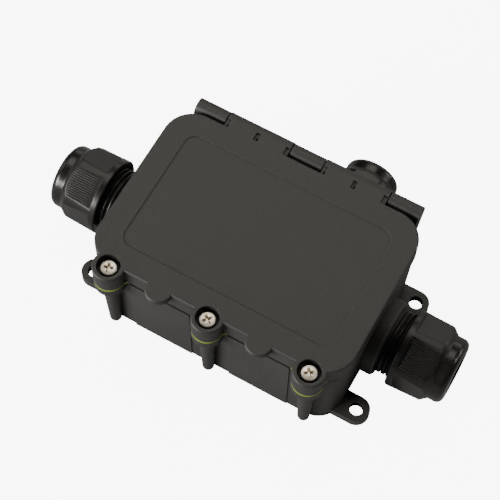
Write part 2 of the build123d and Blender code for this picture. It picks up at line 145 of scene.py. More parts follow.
# %% [markdown]
# Black plastic shows its shape only by what it reflects. In the photograph
# the lid is an even grey, the hinge side is a little brighter, the screws
# shine and the right-hand end falls almost to black. So a large panel hangs
# above and behind, where the lid and the screw heads mirror it. Strong ones
# at the left and the left front light the walls, and a wide low one at the
# back lights the hinge and the upper flats of the nuts. A dim one at the
# right rear shapes the walls that the camera doesn't see, and a small one
# puts the streak on the right-hand dome. The world adds very little.

# %% Light
world = bpy.data.worlds.new("studio")
world.use_nodes = True
world_strength = 0.08
lit_point = Vector((0, 0, 20 * mm))
warm_white = (1.0, 0.955, 0.875)
plain_white = (1.0, 0.985, 0.97)
world_sight = world.node_tree.nodes.new("ShaderNodeLightPath")
world_glow = world.node_tree.nodes.new("ShaderNodeMapRange")
world_glow.inputs["To Min"].default_value = world_strength
world_glow.inputs["To Max"].default_value = floor_glow
background = world.node_tree.nodes["Background"]
background.inputs["Color"].default_value = (1.0, 1.0, 1.0, 1)
world.node_tree.links.new(world_sight.outputs["Is Camera Ray"], world_glow.inputs["Value"])
world.node_tree.links.new(world_glow.outputs[0], background.inputs["Strength"])
bpy.context.scene.world = world

light_panels = {
    "overhead_panel": dict(place=(-0.25, 0.50, 1.05), size=(0.8, 0.6), power=4.6, colour=warm_white),
    "left_panel": dict(place=(-0.95, 0.05, 0.60), size=(0.5, 0.8), power=2.0, colour=warm_white),
    "front_panel": dict(place=(-0.78, -0.95, 0.50), size=(0.6, 0.4), power=33.0, colour=plain_white),
    "back_panel": dict(place=(-0.15, 1.20, 0.36), size=(1.1, 0.4), power=2.4, colour=warm_white),
    "rear_panel": dict(place=(0.95, 0.95, 0.45), size=(0.6, 0.5), power=4.0, colour=warm_white),
    "streak_panel": dict(place=(0.80, 0.35, 0.75), size=(0.14, 0.4), power=2.2, colour=warm_white),
}
for panel_name, panel in light_panels.items():
    light_data = bpy.data.lights.new(panel_name, "AREA")
    light_data.shape = "RECTANGLE"
    light_data.size, light_data.size_y = panel["size"]
    light_data.energy = panel["power"]
    light_data.color = panel["colour"]
    light = bpy.data.objects.new(panel_name, light_data)
    light.location = panel["place"]
    light.rotation_euler = (lit_point - light.location).to_track_quat("-Z", "Y").to_euler()
    bpy.context.scene.collection.objects.link(light)
print("light panels:", ", ".join(light_panels))

# %% [markdown]
# Several finishes share the same small effects, so each effect is a node
# group that is built once. A group hands out a mask, a value or a normal,
# and the shader itself stays in each material. First come two helpers that
# make a group with named sockets and join its nodes.

# %% Helpers for node groups
socket_kinds = {"value": "NodeSocketFloat", "colour": "NodeSocketColor", "vector": "NodeSocketVector"}


def new_group(name, inputs, outputs):
    """A shader node group. inputs maps a socket's name to its kind and start value."""
    group = bpy.data.node_groups.new(name, "ShaderNodeTree")
    for socket_name, (kind, start) in inputs.items():
        socket = group.interface.new_socket(socket_name, in_out="INPUT", socket_type=socket_kinds[kind])
        socket.default_value = start
    for socket_name, kind in outputs.items():
        group.interface.new_socket(socket_name, in_out="OUTPUT", socket_type=socket_kinds[kind])
    entry = group.nodes.new("NodeGroupInput")
    result = group.nodes.new("NodeGroupOutput")
    return group, entry, result


def add_node(tree, kind, settings=None, links=None):
    """A node with its settings and inputs. An input is a value or another node's output."""
    node = tree.nodes.new(kind)
    for key, value in (settings or {}).items():
        setattr(node, key, value)
    for socket_name, value in (links or {}).items():
        socket = node.inputs[socket_name]
        if isinstance(value, bpy.types.NodeSocket):
            tree.links.new(value, socket)
        else:
            socket.default_value = value
    return node


def maths(tree, operation, first, second=0.0):
    """The result of one Math node."""
    return add_node(tree, "ShaderNodeMath", {"operation": operation}, {0: first, 1: second}).outputs[0]


print("socket kinds:", ", ".join(socket_kinds))

# %% [markdown]
# Moulded plastic takes the spark-eroded texture of its tool: a field of tiny
# rounded pits, each a fifth of a millimetre or so, over faint larger waves
# where the wall cooled unevenly. Image textures would need a scan, so two
# noise textures in object coordinates stand in for it. The same group gives
# a mottling for the colour, fine specks over broad clouds.

# %% Group: moulded grain
speck_share = 0.55


def build_moulded_grain():
    group, entry, result = new_group(
        "moulded_grain",
        {"Grain Size": ("value", 0.25), "Waves": ("value", 0.2)},
        {"Height": "value", "Mottling": "value"},
    )
    place = add_node(group, "ShaderNodeTexCoord").outputs["Object"]
    grains_per_metre = maths(group, "DIVIDE", 1 / mm, entry.outputs["Grain Size"])
    pits = add_node(
        group, "ShaderNodeTexNoise", None,
        {"Vector": place, "Scale": grains_per_metre, "Detail": 2.0, "Roughness": 0.55},
    ).outputs[0]
    waves = add_node(
        group, "ShaderNodeTexNoise", None, {"Vector": place, "Scale": 90.0, "Detail": 3.0, "Roughness": 0.5}
    ).outputs[0]
    height = maths(group, "ADD", pits, maths(group, "MULTIPLY", waves, entry.outputs["Waves"]))
    group.links.new(height, result.inputs["Height"])
    specks = add_node(
        group, "ShaderNodeTexNoise", None, {"Vector": place, "Scale": 700.0, "Detail": 5.0, "Roughness": 0.7}
    ).outputs[0]
    clouds = add_node(
        group, "ShaderNodeTexNoise", None, {"Vector": place, "Scale": 55.0, "Detail": 2.0, "Roughness": 0.5}
    ).outputs[0]
    speck_part = maths(group, "MULTIPLY", specks, speck_share)
    cloud_part = maths(group, "MULTIPLY", clouds, 1.0 - speck_share)
    both = maths(group, "ADD", speck_part, cloud_part)
    mottling = add_node(
        group, "ShaderNodeMapRange", None,
        {"Value": both, "From Min": 0.36, "From Max": 0.64, "To Min": 0.0, "To Max": 1.0},
    ).outputs[0]
    group.links.new(mottling, result.inputs["Mottling"])
    return group


moulded_grain = build_moulded_grain()
print("group:", moulded_grain.name)

# %% [markdown]
# Edges that hands and tools touch turn a little smoother and paler. The
# Bevel node gives the normal that a rounded edge would have, and where it
# differs from the true normal there is an edge. Pointiness would be quicker,
# but it needs joined faces and a CAD mesh is loose triangles.

# %% Group: edge wear
edge_gain = 6.0


def build_edge_wear():
    group, entry, result = new_group(
        "edge_wear",
        {"Width": ("value", 0.3), "Breakup": ("value", 0.5)},
        {"Mask": "value"},
    )
    width = maths(group, "MULTIPLY", entry.outputs["Width"], mm)
    rounded = add_node(group, "ShaderNodeBevel", {"samples": 6}, {"Radius": width}).outputs["Normal"]
    true_normal = add_node(group, "ShaderNodeNewGeometry").outputs["Normal"]
    likeness = add_node(
        group, "ShaderNodeVectorMath", {"operation": "DOT_PRODUCT"}, {0: rounded, 1: true_normal}
    ).outputs["Value"]
    edge = maths(group, "MULTIPLY", maths(group, "SUBTRACT", 1.0, likeness), edge_gain)
    place = add_node(group, "ShaderNodeTexCoord").outputs["Object"]
    patches = add_node(
        group, "ShaderNodeTexNoise", None, {"Vector": place, "Scale": 420.0, "Detail": 4.0, "Roughness": 0.6}
    ).outputs[0]
    kept = maths(group, "SUBTRACT", 1.0, maths(group, "MULTIPLY", patches, entry.outputs["Breakup"]))
    mask = add_node(group, "ShaderNodeClamp", None, {"Value": maths(group, "MULTIPLY", edge, kept)})
    group.links.new(mask.outputs[0], result.inputs["Mask"])
    return group


edge_wear = build_edge_wear()
print("group:", edge_wear.name)

# %% [markdown]
# Grooves, counterbores and the roots of threads get painted shade: the black
# plastic is made blackest there. The Ambient Occlusion node measures how
# closed in a point is, and the group turns that into a mask. Painting the
# grooves by hand would be lost with every change of the CAD model.

# %% Group: recess shade
def build_recess_shade():
    group, entry, result = new_group(
        "recess_shade",
        {"Reach": ("value", 4.0), "Amount": ("value", 0.9), "Open From": ("value", 0.8)},
        {"Mask": "value"},
    )
    reach = maths(group, "MULTIPLY", entry.outputs["Reach"], mm)
    openness = add_node(
        group, "ShaderNodeAmbientOcclusion", {"samples": 12}, {"Distance": reach}
    ).outputs["AO"]
    closed_in = add_node(
        group, "ShaderNodeMapRange", None,
        {
            "Value": openness, "From Min": 0.30, "From Max": entry.outputs["Open From"],
            "To Min": 1.0, "To Max": 0.0,
        },
    ).outputs[0]
    group.links.new(maths(group, "MULTIPLY", closed_in, entry.outputs["Amount"]), result.inputs["Mask"])
    return group


recess_shade = build_recess_shade()
print("group:", recess_shade.name)

# %% [markdown]
# A box that was handled has a few specks of dust on the faces that look up.
# A stretched noise, cut off high, gives scattered specks, and the face's own
# direction keeps them off the walls.

# %% Group: dust
def build_dust():
    group, entry, result = new_group(
        "dust",
        {"Amount": ("value", 0.3), "Speck Size": ("value", 0.5)},
        {"Mask": "value"},
    )
    place = add_node(group, "ShaderNodeTexCoord").outputs["Object"]
    specks_per_metre = maths(group, "DIVIDE", 1 / mm, entry.outputs["Speck Size"])
    specks = add_node(
        group, "ShaderNodeTexNoise", None,
        {"Vector": place, "Scale": specks_per_metre, "Detail": 3.0, "Roughness": 0.7},
    ).outputs[0]
    sparse = add_node(
        group, "ShaderNodeMapRange", None,
        {"Value": specks, "From Min": 0.66, "From Max": 0.74, "To Min": 0.0, "To Max": 1.0},
    ).outputs[0]
    normal = add_node(group, "ShaderNodeNewGeometry").outputs["Normal"]
    upward = add_node(group, "ShaderNodeSeparateXYZ", None, {0: normal}).outputs["Z"]
    lying = add_node(group, "ShaderNodeClamp", None, {"Value": upward}).outputs[0]
    mask = maths(group, "MULTIPLY", maths(group, "MULTIPLY", sparse, lying), entry.outputs["Amount"])
    group.links.new(mask, result.inputs["Mask"])
    return group


dust = build_dust()
print("group:", dust.name)

# %% [markdown]
# Turned and plated metal keeps fine tool lines that run round the axis. A
# noise stretched hard along one direction reads as those lines at any place
# on the piece. The group gives their height and a mask for the tarnish that
# collects between them.

# %% Group: tool lines
def build_tool_lines():
    group, entry, result = new_group(
        "tool_lines",
        {"Line Width": ("value", 0.12), "Stretch": ("value", 12.0)},
        {"Height": "value", "Tarnish": "value"},
    )
    place = add_node(group, "ShaderNodeTexCoord").outputs["Object"]
    lines_per_metre = maths(group, "DIVIDE", 1 / mm, entry.outputs["Line Width"])
    squeezed = maths(group, "DIVIDE", lines_per_metre, entry.outputs["Stretch"])
    scale = add_node(
        group, "ShaderNodeCombineXYZ", None, {"X": squeezed, "Y": lines_per_metre, "Z": lines_per_metre}
    ).outputs[0]
    stretched = add_node(
        group, "ShaderNodeVectorMath", {"operation": "MULTIPLY"}, {0: place, 1: scale}
    ).outputs["Vector"]
    lines = add_node(
        group, "ShaderNodeTexNoise", None,
        {"Vector": stretched, "Scale": 1.0, "Detail": 2.0, "Roughness": 0.5},
    ).outputs[0]
    group.links.new(lines, result.inputs["Height"])
    stains = add_node(
        group, "ShaderNodeTexNoise", None, {"Vector": place, "Scale": 900.0, "Detail": 4.0, "Roughness": 0.6}
    ).outputs[0]
    group.links.new(stains, result.inputs["Tarnish"])
    return group


tool_lines = build_tool_lines()
print("group:", tool_lines.name)

# %% [markdown]
# Every moulded finish on the box is built the same way from the groups
# above, with its own colour, gloss and grain. One function makes them all:
# the grain moves the normal and mottles the colour, worn edges are paler and
# smoother, recesses get painted shade that makes them darker and duller, and
# dust is paler. No moulded edge is sharp, so a Bevel node rounds the normal
# there, which also smooths the facets of the CAD mesh without touching it.

# %% Moulded finishes
dust_cover = 0.6
dust_paleness = 0.10
# Colour factor and roughness of the painted shade in recesses
painted_shade_darkness = 0.2
painted_shade_roughness = 0.85
smooth_share = 0.9
rough_share = 1.12
worn_share = 0.75


def blend_colours(tree, mask, first, second):
    """Mixes two colours by a mask."""
    mix = tree.nodes.new("ShaderNodeMix")
    mix.data_type = "RGBA"
    for socket_name, value in (("Factor", mask), ("A", first), ("B", second)):
        socket = next(s for s in mix.inputs if s.name == socket_name and s.enabled)
        if isinstance(value, bpy.types.NodeSocket):
            tree.links.new(value, socket)
        else:
            socket.default_value = value
    return next(s for s in mix.outputs if s.enabled)


def blend_values(tree, mask, first, second):
    """Mixes two values by a mask."""
    return add_node(
        tree, "ShaderNodeMapRange", None,
        {"Value": mask, "From Min": 0.0, "From Max": 1.0, "To Min": first, "To Max": second},
    ).outputs[0]


def use_group(tree, group, **values):
    """Places a group in a material and sets its inputs."""
    node = tree.nodes.new("ShaderNodeGroup")
    node.node_tree = group
    for socket_name, value in values.items():
        node.inputs[socket_name.replace("_", " ").title()].default_value = value
    return node


def moulded_finish(name, dark, pale, worn, gloss, grain_size, grain_depth, wear_width=0.3, dust_amount=0.25,
                   painted_shade_amount=0.9, painted_shade_reach=4.0, refraction=1.5, edge_round=0.4):
    """A moulded plastic or rubber with painted shade in its recesses. gloss is its roughness, depths and
    widths are in millimetres.
    """
    material = bpy.data.materials.new(name)
    material.use_nodes = True
    tree = material.node_tree
    shader = tree.nodes["Principled BSDF"]
    grain = use_group(tree, moulded_grain, grain_size=grain_size, waves=0.35)
    wear = use_group(tree, edge_wear, width=wear_width, breakup=0.8)
    specks = use_group(tree, dust, amount=dust_amount, speck_size=0.45)
    body = blend_colours(tree, grain.outputs["Mottling"], dark, pale)
    edged = blend_colours(tree, wear.outputs["Mask"], body, worn)
    dusty_colour = tuple(dust_cover * channel + dust_paleness for channel in worn[:3]) + (1,)
    dusted = blend_colours(tree, specks.outputs["Mask"], edged, dusty_colour)
    # Painted shade: closed-in places get a darker base colour and a higher roughness
    closed_in = use_group(tree, recess_shade, reach=painted_shade_reach, amount=painted_shade_amount).outputs["Mask"]
    painted_shade_colour = tuple(painted_shade_darkness * channel for channel in dark[:3]) + (1,)
    tree.links.new(blend_colours(tree, closed_in, dusted, painted_shade_colour), shader.inputs["Base Color"])
    patchy_gloss = blend_values(
        tree, grain.outputs["Mottling"], gloss * smooth_share, gloss * rough_share
    )
    worn_gloss = blend_values(tree, wear.outputs["Mask"], patchy_gloss, gloss * worn_share)
    tree.links.new(blend_values(tree, closed_in, worn_gloss, painted_shade_roughness), shader.inputs["Roughness"])
    rounded = add_node(tree, "ShaderNodeBevel", {"samples": 6}, {"Radius": edge_round * mm}).outputs["Normal"]
    relief = add_node(
        tree, "ShaderNodeBump", None,
        {"Height": grain.outputs["Height"], "Strength": 1.0, "Distance": grain_depth * mm, "Normal": rounded},
    ).outputs["Normal"]
    tree.links.new(relief, shader.inputs["Normal"])
    shader.inputs["IOR"].default_value = refraction
    return material


finishes = {
    "shell_plastic": moulded_finish(
        "shell_plastic", (0.0134, 0.0127, 0.0117, 1), (0.0252, 0.0239, 0.0216, 1), (0.055, 0.053, 0.050, 1),
        gloss=0.55, grain_size=0.28, grain_depth=0.010, painted_shade_amount=0.5, edge_round=0.12,
    ),
    "gland_plastic": moulded_finish(
        "gland_plastic", (0.0060, 0.0056, 0.0052, 1), (0.0110, 0.0103, 0.0095, 1), (0.035, 0.034, 0.032, 1),
        gloss=0.32, grain_size=0.6, grain_depth=0.0015, wear_width=0.4, painted_shade_amount=0.8, painted_shade_reach=1.5,
        refraction=1.40, edge_round=0.9,
    ),
    "rib_plastic": moulded_finish(
        "rib_plastic", (0.0050, 0.0047, 0.0043, 1), (0.0090, 0.0084, 0.0078, 1), (0.030, 0.029, 0.027, 1),
        gloss=0.34, grain_size=0.6, grain_depth=0.0010, wear_width=0.15, painted_shade_amount=0.9, painted_shade_reach=0.8,
        refraction=1.40, edge_round=0.05,
    ),
    "claw_plastic": moulded_finish(
        "claw_plastic", (0.030, 0.030, 0.032, 1), (0.050, 0.050, 0.052, 1), (0.09, 0.09, 0.09, 1),
        gloss=0.42, grain_size=0.4, grain_depth=0.006,
    ),
    "gasket_rubber": moulded_finish(
        "gasket_rubber", (0.19, 0.250, 0.018, 1), (0.27, 0.345, 0.032, 1), (0.38, 0.44, 0.08, 1),
        gloss=0.48, grain_size=0.35, grain_depth=0.006, dust_amount=0.1, painted_shade_amount=0.5,
    ),
    "seal_rubber": moulded_finish(
        "seal_rubber", (0.012, 0.012, 0.012, 1), (0.022, 0.022, 0.022, 1), (0.04, 0.04, 0.04, 1),
        gloss=0.62, grain_size=0.3, grain_depth=0.010,
    ),
    "terminal_plastic": moulded_finish(
        "terminal_plastic", (0.62, 0.60, 0.52, 1), (0.72, 0.70, 0.62, 1), (0.78, 0.76, 0.70, 1),
        gloss=0.35, grain_size=0.5, grain_depth=0.005,
    ),
}
print("moulded finishes:", ", ".join(finishes))

# %% [markdown]
# The mould of a cap nut is polished where it shapes the dome, so the domes
# mirror the lights while the flats stay satin. The domes are the outermost
# few millimetres of the object to the right, to the left and to the back, so
# a plain test of the coordinates finds them. A second material would do too,
# but each nut is one moulding with one slot.

# %% Polished domes
dome_length = 5.1 * mm
dome_gloss = 0.25


def polish_domes(material, side_start, back_start):
    """Lowers the roughness beyond a distance to either side and to the back."""
    tree = material.node_tree
    roughness = tree.nodes["Principled BSDF"].inputs["Roughness"]
    satin = roughness.links[0].from_socket
    place = add_node(tree, "ShaderNodeTexCoord").outputs["Object"]
    spread = add_node(tree, "ShaderNodeSeparateXYZ", None, {0: place}).outputs
    at_side = maths(tree, "GREATER_THAN", maths(tree, "ABSOLUTE", spread["X"]), side_start)
    at_back = maths(tree, "GREATER_THAN", spread["Y"], back_start)
    on_dome = maths(tree, "MAXIMUM", at_side, at_back)
    tree.links.new(blend_values(tree, on_dome, satin, dome_gloss), roughness)


side_dome_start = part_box("gland_nut_right")[1].x - dome_length
back_dome_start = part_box("gland_nut_back")[1].y - dome_length
polish_domes(finishes["gland_plastic"], side_dome_start, back_dome_start)
print("domes start at", round(side_dome_start / mm, 1), "and", round(back_dome_start / mm, 1), "mm")

# %% [markdown]
# The metals follow one recipe too. Plating is bright, so most of its look is
# reflection: the tool lines bend the normal a little, the tarnish dulls it
# in patches, and recesses such as a screw's cross get painted shade in a
# dark brown. The plating of the lid screws scatters a little of the light too.

# %% Metal finishes
# Brown tint of the painted shade in metal recesses
brown_painted_shade = (0.42, 0.37, 0.31)
clean_share = 0.8
tarnished_share = 1.4


def metal_finish(name, bright, dull, gloss, line_depth, line_width=0.12, matt_share=0.0):
    """A turned and plated metal. line_depth is in millimetres, matt_share is how much it scatters."""
    material = bpy.data.materials.new(name)
    material.use_nodes = True
    tree = material.node_tree
    shader = tree.nodes["Principled BSDF"]
    lines = use_group(tree, tool_lines, line_width=line_width, stretch=12.0)
    colour = blend_colours(tree, lines.outputs["Tarnish"], bright, dull)
    # Painted shade: closed-in places such as the cross recess turn a darker brown
    closed_in = use_group(tree, recess_shade, reach=1.3, amount=0.9, open_from=0.95).outputs["Mask"]
    painted_shade_colour = tuple(stain * channel for stain, channel in zip(brown_painted_shade, dull)) + (1,)
    tree.links.new(blend_colours(tree, closed_in, colour, painted_shade_colour), shader.inputs["Base Color"])
    shader.inputs["Metallic"].default_value = 1.0 - matt_share
    roughness = blend_values(
        tree, lines.outputs["Tarnish"], gloss * clean_share, gloss * tarnished_share
    )
    tree.links.new(roughness, shader.inputs["Roughness"])
    relief = add_node(
        tree, "ShaderNodeBump", None,
        {"Height": lines.outputs["Height"], "Strength": 1.0, "Distance": line_depth * mm},
    ).outputs["Normal"]
    tree.links.new(relief, shader.inputs["Normal"])
    return material


finishes["screw_nickel"] = metal_finish(
    "screw_nickel", (1.00, 0.93, 0.80, 1), (0.95, 0.86, 0.70, 1),
    gloss=0.34, line_depth=0.003, matt_share=0.12,
)
finishes["pin_steel"] = metal_finish(
    "pin_steel", (0.62, 0.61, 0.60, 1), (0.48, 0.47, 0.46, 1), gloss=0.30, line_depth=0.004
)
finishes["terminal_brass"] = metal_finish(
    "terminal_brass", (0.86, 0.66, 0.30, 1), (0.66, 0.48, 0.20, 1), gloss=0.26, line_depth=0.004
)
finishes["terminal_steel"] = metal_finish(
    "terminal_steel", (0.80, 0.79, 0.76, 1), (0.64, 0.63, 0.60, 1), gloss=0.24, line_depth=0.003
)
print("all finishes:", ", ".join(finishes))

# %% [markdown]
# The record says which slot each CAD node takes its finish from, and the
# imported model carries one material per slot. Each node gets the finish of
# the same name in its material slots.

# %% Finish the CAD nodes
node_finish = {}
for material in frame["record"]["materials"]:
    for node_name in material.get("nodes", []):
        node_finish[node_name] = material["slot"]
for node_name, node in frame["nodes"].items():
    slot_name = node_finish.get(node_name)
    if slot_name is None:
        slot_name = node.material_slots[0].material.name.split(".")[0]
        node_finish[node_name] = slot_name
    for material_slot in node.material_slots:
        material_slot.material = finishes[slot_name]
print("nodes finished:", len(node_finish))

# %% [markdown]
# Geometry Nodes make what repeats. Two small helpers come first: one makes
# a tree with named inputs, and one sets its inputs by their identifiers and
# turns the result into a plain mesh that can ride on a body.

# %% Helpers for Geometry Nodes
geometry_socket_kinds = {
    "value": "NodeSocketFloat",
    "count": "NodeSocketInt",
    "vector": "NodeSocketVector",
    "material": "NodeSocketMaterial",
}


def new_geometry_tree(name, inputs):
    """A tree whose last nodes are Realize Instances and Set Material."""
    tree = bpy.data.node_groups.new(name, "GeometryNodeTree")
    tree.interface.new_socket("Geometry", in_out="OUTPUT", socket_type="NodeSocketGeometry")
    for socket_name, kind in inputs.items():
        tree.interface.new_socket(socket_name, in_out="INPUT", socket_type=geometry_socket_kinds[kind])
    entry = tree.nodes.new("NodeGroupInput")
    result = tree.nodes.new("NodeGroupOutput")
    realize = tree.nodes.new("GeometryNodeRealizeInstances")
    finish = tree.nodes.new("GeometryNodeSetMaterial")
    tree.links.new(realize.outputs[0], finish.inputs["Geometry"])
    tree.links.new(entry.outputs["Finish"], finish.inputs["Material"])
    tree.links.new(finish.outputs[0], result.inputs["Geometry"])
    return tree, entry, realize.inputs[0]


def grow_mesh(name, tree, place, **values):
    """Runs a tree once and keeps its result as a plain mesh at the origin."""
    source = bpy.data.objects.new(name + "_source", bpy.data.meshes.new(name + "_source"))
    bpy.context.scene.collection.objects.link(source)
    modifier = source.modifiers.new("grow", "NODES")
    modifier.node_group = tree
    for item in tree.interface.items_tree:
        key = item.name.lower().replace(" ", "_")
        if item.in_out == "INPUT" and key in values:
            modifier[item.identifier] = values[key]
    evaluated = source.evaluated_get(bpy.context.evaluated_depsgraph_get())
    mesh = bpy.data.meshes.new_from_object(evaluated)
    bpy.data.objects.remove(source)
    mesh.name = name
    mesh.transform(place)
    piece = bpy.data.objects.new(name, mesh)
    bpy.context.scene.collection.objects.link(piece)
    print(name, "has", len(mesh.polygons), "faces")
    return piece


print("geometry socket kinds:", ", ".join(geometry_socket_kinds))

# %% [markdown]
# Each gland sits on one wall and points straight out. A matrix with its
# axis as local Z lets one description serve all three. The places and sizes
# come from the boxes of the CAD nodes, so they follow the solids.

# %% Where the glands are
gland_directions = {"right": Vector((1, 0, 0)), "left": Vector((-1, 0, 0)), "back": Vector((0, 1, 0))}


def gland_place(name):
    """Matrix of the near face of a gland's nut, with Z along the gland, and the nut's length and radius."""
    axis = gland_directions[name]
    low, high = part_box(f"gland_nut_{name}")
    length = abs((high - low).dot(axis))
    radius = (high.z - low.z) / 2
    start = (low + high) / 2 - axis * length / 2
    upward = Vector((0, 0, 1))
    sideways = upward.cross(axis)
    place = Matrix((
        (sideways.x, upward.x, axis.x, start.x),
        (sideways.y, upward.y, axis.y, start.y),
        (sideways.z, upward.z, axis.z, start.z),
        (0, 0, 0, 1),
    ))
    return place, length, radius


for gland_name in gland_directions:
    place, length, radius = gland_place(gland_name)
    print(gland_name, "nut:", round(length / mm, 1), "mm long, radius", round(radius / mm, 2), "mm")

# %% [markdown]
# The neck of each gland carries a coarse thread. The CAD solid is plain
# there, at the root of the thread. A helix with a small section swept along
# it gives the crests, and Geometry Nodes have both a spiral and a sweep, so
# one tree serves the three necks and later the screws. A screw modifier
# could do the same, but it would leave the ends of the thread open.

# %% Tree: helical thread
# A little under a half, so that the foot of the thread sinks into its core
middle_share = 0.45


def build_thread_tree():
    tree, entry, ending = new_geometry_tree(
        "helical_thread",
        {"Root Radius": "value", "Height": "value", "Pitch": "value", "Length": "value",
         "Base Width": "value", "Crest Width": "value", "Steps": "count", "Finish": "material"},
    )
    turns = maths(tree, "DIVIDE", entry.outputs["Length"], entry.outputs["Pitch"])
    middle_height = maths(tree, "MULTIPLY", entry.outputs["Height"], middle_share)
    middle_radius = maths(tree, "ADD", entry.outputs["Root Radius"], middle_height)
    helix = add_node(
        tree, "GeometryNodeCurveSpiral", None,
        {"Resolution": entry.outputs["Steps"], "Rotations": turns, "Start Radius": middle_radius,
         "End Radius": middle_radius, "Height": entry.outputs["Length"]},
    ).outputs["Curve"]
    upright = add_node(
        tree, "GeometryNodeSetCurveNormal", {"mode": "Z_UP"}, {"Curve": helix}
    ).outputs["Curve"]
    section = add_node(
        tree, "GeometryNodeCurvePrimitiveQuadrilateral", {"mode": "TRAPEZOID"},
        {"Height": entry.outputs["Height"], "Bottom Width": entry.outputs["Base Width"],
         "Top Width": entry.outputs["Crest Width"], "Offset": 0.0},
    ).outputs["Curve"]
    crest_outwards = add_node(
        tree, "GeometryNodeTransform", None, {"Geometry": section, "Rotation": (0, 0, math.radians(-90))}
    ).outputs["Geometry"]
    swept = add_node(
        tree, "GeometryNodeCurveToMesh", None,
        {"Curve": upright, "Profile Curve": crest_outwards, "Fill Caps": True},
    ).outputs["Mesh"]
    tree.links.new(swept, ending)
    return tree


thread_tree = build_thread_tree()
print("tree:", thread_tree.name)

# %% [markdown]
# Each thread starts just off the collar and runs on under the nut, so its
# far end never shows. The back gland is smaller and shows less of its neck.

# %% Thread the three necks
# All in millimetres
neck_threads = {
    "right": dict(root=11.6, start=-5.1, length=8.0),
    "left": dict(root=11.6, start=-5.1, length=8.0),
    "back": dict(root=9.6, start=-2.1, length=4.4),
}
for gland_name, sizes in neck_threads.items():
    place = gland_place(gland_name)[0]
    thread = grow_mesh(
        f"neck_thread_{gland_name}", thread_tree,
        place @ Matrix.Translation((0, 0, sizes["start"] * mm)),
        root_radius=sizes["root"] * mm, height=0.85 * mm, pitch=1.9 * mm, length=sizes["length"] * mm,
        base_width=1.3 * mm, crest_width=0.45 * mm, steps=72, finish=finishes["rib_plastic"],
    )
    radii = [math.hypot(v.x, v.y) for v in (place.inverted() @ vertex.co for vertex in thread.data.vertices)]
    print("thread radius in mm:", round(min(radii) / mm, 2), "to", round(max(radii) / mm, 2))
    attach(thread, "base")

# %% [markdown]
# Every second flat of a cap nut carries fine ribs for the fingers. Each rib
# is a short round bar, half sunk in the flat, with ends that round off. One
# rib is swept along a line with a radius that falls at both ends, copied
# across the flat, and the row is copied to three flats. Modelling it by hand
# would mean some forty bars a nut, and changing one would mean changing all.

# %% Tree: grip ribs
end_sharpness = 6.0
smallest_fullness = 0.05


def build_rib_tree():
    tree, entry, ending = new_geometry_tree(
        "grip_ribs",
        {"Count": "count", "Pitch": "value", "Rib Radius": "value", "Start": "value", "End": "value",
         "End Drop": "value", "Flat Distance": "value", "First Flat": "value", "Finish": "material"},
    )
    line = add_node(
        tree, "GeometryNodeCurvePrimitiveLine", None, {"Start": (0, 0, 0), "End": (0, 0, 1)}
    ).outputs["Curve"]
    stations = add_node(
        tree, "GeometryNodeResampleCurve", None, {"Curve": line, "Count": 15}
    ).outputs["Curve"]
    along = add_node(tree, "GeometryNodeSplineParameter").outputs["Factor"]
    from_middle = maths(tree, "ABSOLUTE", maths(tree, "SUBTRACT", maths(tree, "MULTIPLY", along, 2.0), 1.0))
    squared = maths(tree, "SUBTRACT", 1.0, maths(tree, "POWER", from_middle, end_sharpness))
    fullness = maths(tree, "MAXIMUM", maths(tree, "SQRT", squared), smallest_fullness)
    bar_section = add_node(
        tree, "GeometryNodeCurvePrimitiveCircle", None,
        {"Resolution": 10, "Radius": entry.outputs["Rib Radius"]},
    ).outputs["Curve"]
    rib = add_node(
        tree, "GeometryNodeCurveToMesh", None,
        {"Curve": stations, "Profile Curve": bar_section, "Scale": fullness, "Fill Caps": True},
    ).outputs["Mesh"]
    gaps = maths(tree, "SUBTRACT", entry.outputs["Count"], 1.0)
    row_start = maths(tree, "MULTIPLY", maths(tree, "MULTIPLY", gaps, entry.outputs["Pitch"]), -0.5)
    first_point = add_node(
        tree, "ShaderNodeCombineXYZ", None,
        {"X": entry.outputs["Flat Distance"], "Y": row_start, "Z": entry.outputs["Start"]},
    ).outputs[0]
    step = add_node(tree, "ShaderNodeCombineXYZ", None, {"Y": entry.outputs["Pitch"]}).outputs[0]
    row = add_node(
        tree, "GeometryNodeMeshLine", None,
        {"Count": entry.outputs["Count"], "Start Location": first_point, "Offset": step},
    ).outputs["Mesh"]
    position = add_node(tree, "GeometryNodeInputPosition").outputs[0]
    across = add_node(tree, "ShaderNodeSeparateXYZ", None, {0: position}).outputs["Y"]
    share = maths(tree, "POWER", maths(tree, "ABSOLUTE", maths(tree, "DIVIDE", across, row_start)), 2.0)
    full_length = maths(tree, "SUBTRACT", entry.outputs["End"], entry.outputs["Start"])
    drop = maths(tree, "MULTIPLY", share, entry.outputs["End Drop"])
    rib_length = maths(tree, "SUBTRACT", full_length, drop)
    stretch = add_node(tree, "ShaderNodeCombineXYZ", None, {"X": 1.0, "Y": 1.0, "Z": rib_length}).outputs[0]
    ribs = add_node(
        tree, "GeometryNodeInstanceOnPoints", None, {"Points": row, "Instance": rib, "Scale": stretch}
    ).outputs["Instances"]
    flats = add_node(
        tree, "GeometryNodeMeshLine", None, {"Count": 3, "Offset": (0, 0, 0)}
    ).outputs["Mesh"]
    index = add_node(tree, "GeometryNodeInputIndex").outputs[0]
    turn = maths(tree, "ADD", maths(tree, "MULTIPLY", index, math.radians(120)), entry.outputs["First Flat"])
    facing = add_node(
        tree, "FunctionNodeAxisAngleToRotation", None, {"Axis": (0, 0, 1), "Angle": turn}
    ).outputs["Rotation"]
    all_ribs = add_node(
        tree, "GeometryNodeInstanceOnPoints", None, {"Points": flats, "Instance": ribs, "Rotation": facing}
    ).outputs["Instances"]
    tree.links.new(all_ribs, ending)
    return tree


rib_tree = build_rib_tree()
print("tree:", rib_tree.name)

# %% [markdown]
# The nuts stand turned as in the photograph, so the first ribbed flat has its
# own angle on each. The back nut is smaller, with fewer and shorter ribs.

